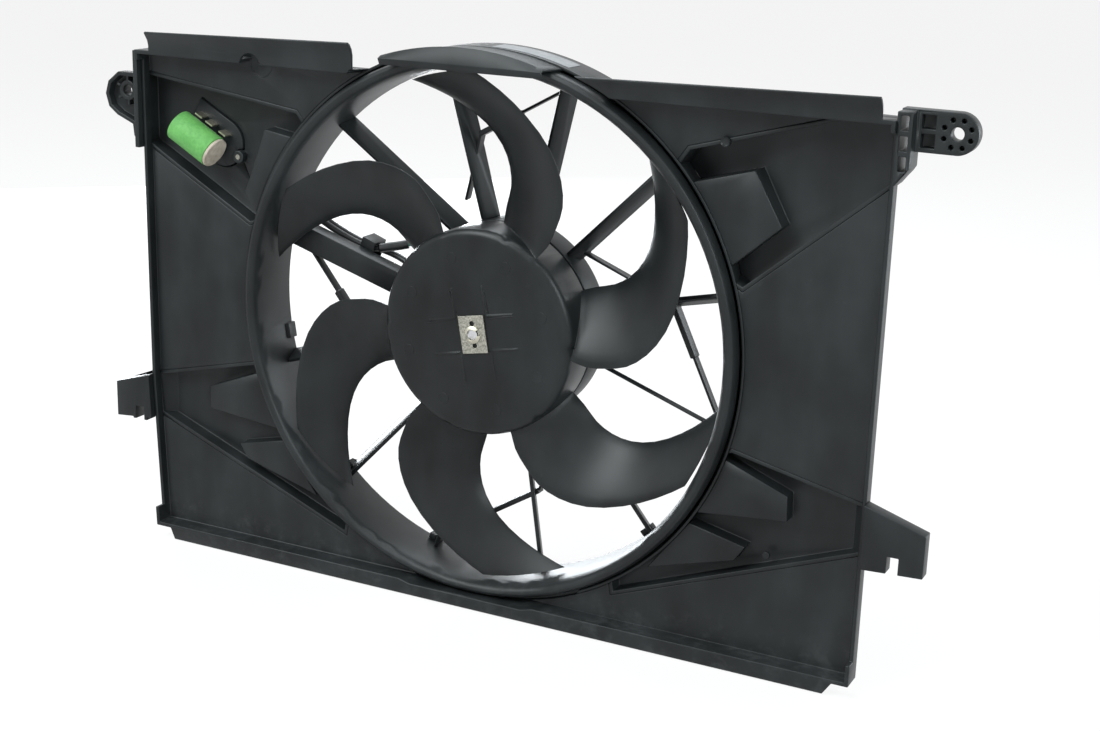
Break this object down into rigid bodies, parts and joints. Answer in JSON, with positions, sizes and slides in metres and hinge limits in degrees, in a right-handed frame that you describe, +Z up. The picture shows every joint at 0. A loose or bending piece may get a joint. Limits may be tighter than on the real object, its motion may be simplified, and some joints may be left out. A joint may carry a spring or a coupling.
{
  "type": "radiator cooling fan",
  "caption": "Radiator cooling fan: a black moulded shroud with a round fan ring, sickle blades, spoked motor carrier, rear motor and speed resistor.",
  "frame": {"origin": "centre of the left ear's hole at the ear's front, radiator-side face", "axes": "+X across the panel from the left ear to the right one, +Y along the fan axis from the radiator side to the motor side, +Z up"},
  "size_m": [0.6875, 0.0955, 0.4199],
  "materials": {
    "shroud_plastic": "satin",
    "fan_plastic": "semi-gloss",
    "spring_steel": "satin",
    "coated_steel": "satin",
    "bright_steel": "satin",
    "copper": "satin",
    "ferrite": "matte",
    "card": "matte",
    "connector_plastic": "satin",
    "wire_black": "satin",
    "wire_green": "satin",
    "green_ceramic": "matte",
    "bare_ceramic": "matte",
    "tinned_brass": "satin"
  },
  "bodies": {
    "shroud": {"shroud_panel": "shroud_plastic", "support_arms": "shroud_plastic", "left_ear": "shroud_plastic", "right_ear": "shroud_plastic", "lower_hooks": "shroud_plastic", "fan_ring": "shroud_plastic", "bottom_cells": "shroud_plastic", "stator_struts": "shroud_plastic", "motor_carrier": "shroud_plastic", "motor_can": "coated_steel", "motor_flange": "coated_steel", "motor_end_plate": "coated_steel", "magnets": "ferrite", "brush_card": "card", "brushes": "ferrite", "front_bearing": "bright_steel", "rear_bearing": "bright_steel", "motor_screws": "bright_steel", "motor_connector": "connector_plastic", "harness_plug": "connector_plastic", "black_wires": "wire_black", "green_wires": "wire_green", "harness_sleeve": "wire_black", "strut_clip": "connector_plastic", "resistor_socket": "connector_plastic", "resistor_base": "connector_plastic", "resistor_body": "green_ceramic", "resistor_end_cap": "bare_ceramic", "resistor_terminals": "tinned_brass", "resistor_screw": "bright_steel"},
    "rotor": {"fan": "fan_plastic", "retaining_clip": "spring_steel", "motor_shaft": "bright_steel", "armature_core": "bright_steel", "armature_windings": "copper", "commutator": "copper"}
  },
  "joints": [
    {"name": "fan_spin", "type": "hinge", "parent": "shroud", "child": "rotor", "pos_m": [0.315, 0.017, -0.15], "axis": [0, 1, 0], "continuous": true}
  ]
}
